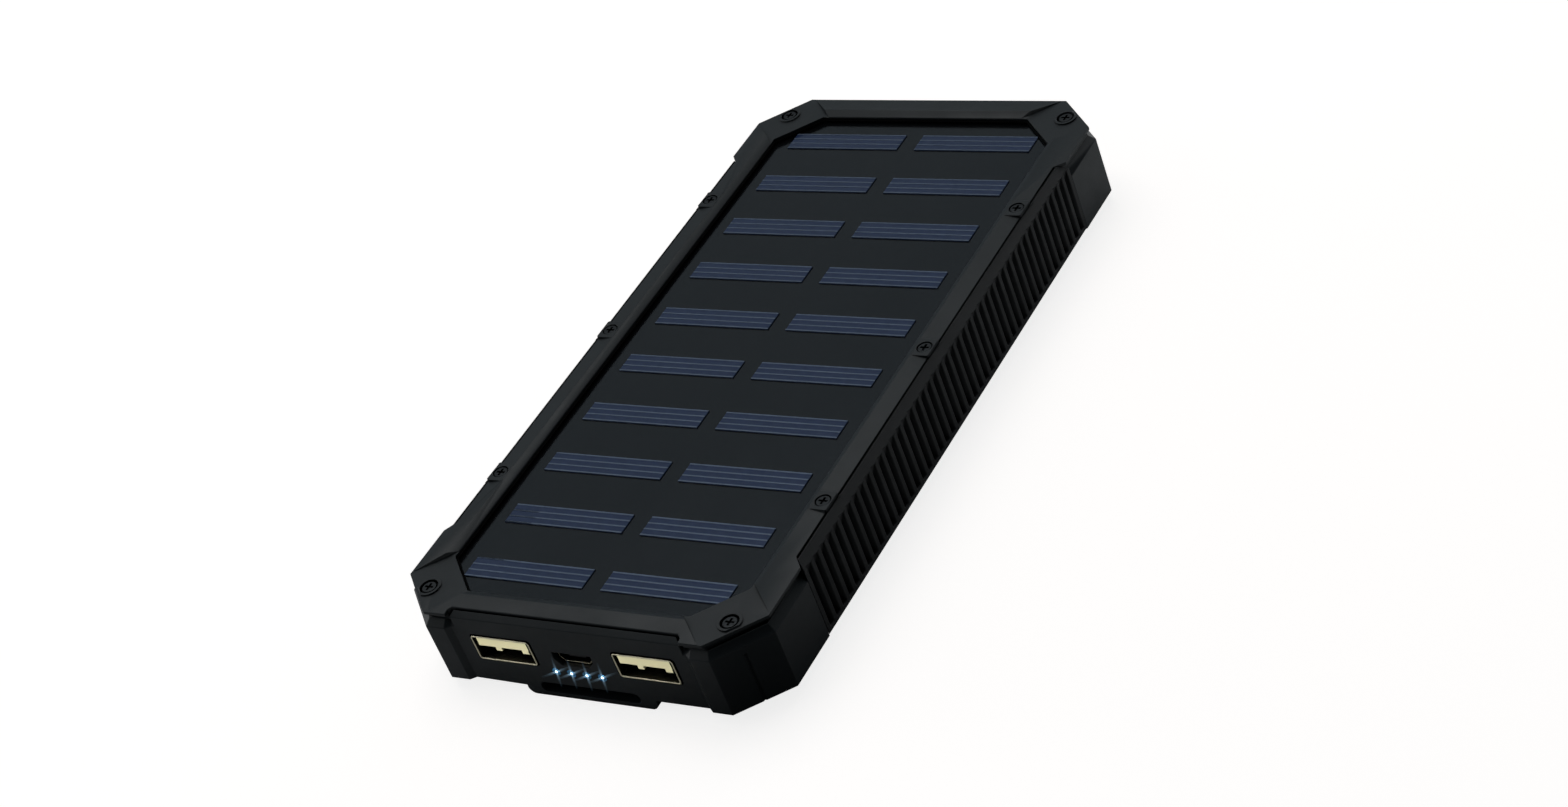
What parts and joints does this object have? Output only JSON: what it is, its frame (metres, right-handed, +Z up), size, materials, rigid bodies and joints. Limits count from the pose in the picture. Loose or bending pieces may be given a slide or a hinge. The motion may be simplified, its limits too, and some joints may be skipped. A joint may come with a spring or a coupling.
{
  "type": "solar phone charger",
  "caption": "Pocket battery charger with a solar panel on top, ribbed rubber side grips, USB sockets at one end and a lamp in the raised back.",
  "frame": {"origin": "centre of the resting plane, midway between the side grips and between the two ends", "axes": "+Z up through the solar panel, -Y towards the USB sockets, -X towards the power button"},
  "size_m": [0.08, 0.1622, 0.0193],
  "materials": {
    "adhesive": "matt",
    "amber_tape": "film",
    "black_board": "black",
    "black_screw": "black oxide",
    "black_sleeve": "wire sleeve",
    "blue_led": "lit, blue-white",
    "bright_screw": "zinc",
    "button_plastic": "satin",
    "can_aluminium": "satin",
    "case_plastic": "fine satin texture",
    "ceramic_chip": "sintered",
    "chip_black": "moulded",
    "circuit_board": "solder mask",
    "clear_laminate": "clear gloss",
    "clear_plastic": "polished",
    "copper": "enamelled copper wire",
    "cream_plastic": "moulded",
    "dark_insert": "moulded",
    "ferrite": "sintered",
    "foam": "open foam",
    "frosted_plastic": "frosted",
    "gold_contact": "plated",
    "grip_rubber": "matt ribbed",
    "lamp_phosphor": "phosphor",
    "nickel": "satin",
    "pouch_foil": "soft foil",
    "red_sleeve": "wire sleeve",
    "seal_rubber": "matt",
    "silver_line": "fine printed line",
    "socket_steel": "warm nickel plate",
    "solar_silicon": "dark blue, faint crystal grain",
    "white_board": "white solder mask",
    "white_plastic": "white"
  },
  "bodies": {
    "case": {"back_cover": "case_plastic", "top_frame": "case_plastic", "side_grip_left": "grip_rubber", "side_grip_right": "grip_rubber", "case_screws": "black_screw", "case_gasket": "seal_rubber", "solar_laminate": "clear_laminate", "cell_gridlines": "silver_line", "solar_cells": "solar_silicon", "solar_board": "black_board", "panel_adhesive": "adhesive", "panel_foam_pad": "foam", "cell_foam_pad": "foam", "battery_cell_left": "pouch_foil", "battery_cell_right": "pouch_foil", "cell_tabs": "nickel", "cell_tape": "amber_tape", "protection_board": "circuit_board", "protection_chips": "chip_black", "main_board": "circuit_board", "board_screws": "bright_screw", "usb_shell_left": "socket_steel", "usb_shell_right": "socket_steel", "usb_inserts": "cream_plastic", "usb_contacts": "gold_contact", "micro_usb_shell": "socket_steel", "micro_usb_insert": "dark_insert", "micro_usb_contacts": "gold_contact", "indicator_light_guide": "clear_plastic", "indicator_leds": "blue_led", "switch_body": "chip_black", "inductor_core": "ferrite", "inductor_coil": "copper", "power_chips": "chip_black", "chip_legs": "nickel", "capacitors": "can_aluminium", "chip_passives": "ceramic_chip", "lamp_lens": "frosted_plastic", "lamp_reflector": "white_plastic", "lamp_board": "white_board", "lamp_leds": "lamp_phosphor", "lamp_board_screws": "bright_screw", "battery_lead_red": "red_sleeve", "battery_lead_black": "black_sleeve", "panel_lead_red": "red_sleeve", "panel_lead_black": "black_sleeve", "lamp_lead_red": "red_sleeve", "lamp_lead_black": "black_sleeve"},
    "button": {"power_button": "button_plastic"},
    "plunger": {"switch_plunger": "dark_insert"}
  },
  "joints": [
    {"name": "button_press", "type": "slide", "parent": "case", "child": "button", "axis": [1, 0, 0], "range_m": [0, 0.0003], "stiffness_N_per_m": 1500, "springref_m": -0.0006},
    {"name": "plunger_press", "type": "slide", "parent": "case", "child": "plunger", "axis": [1, 0, 0], "range_m": [0, 0.0003]}
  ],
  "couplings": [
    {"joint": "plunger_press", "follows": "button_press", "ratio": 1}
  ]
}
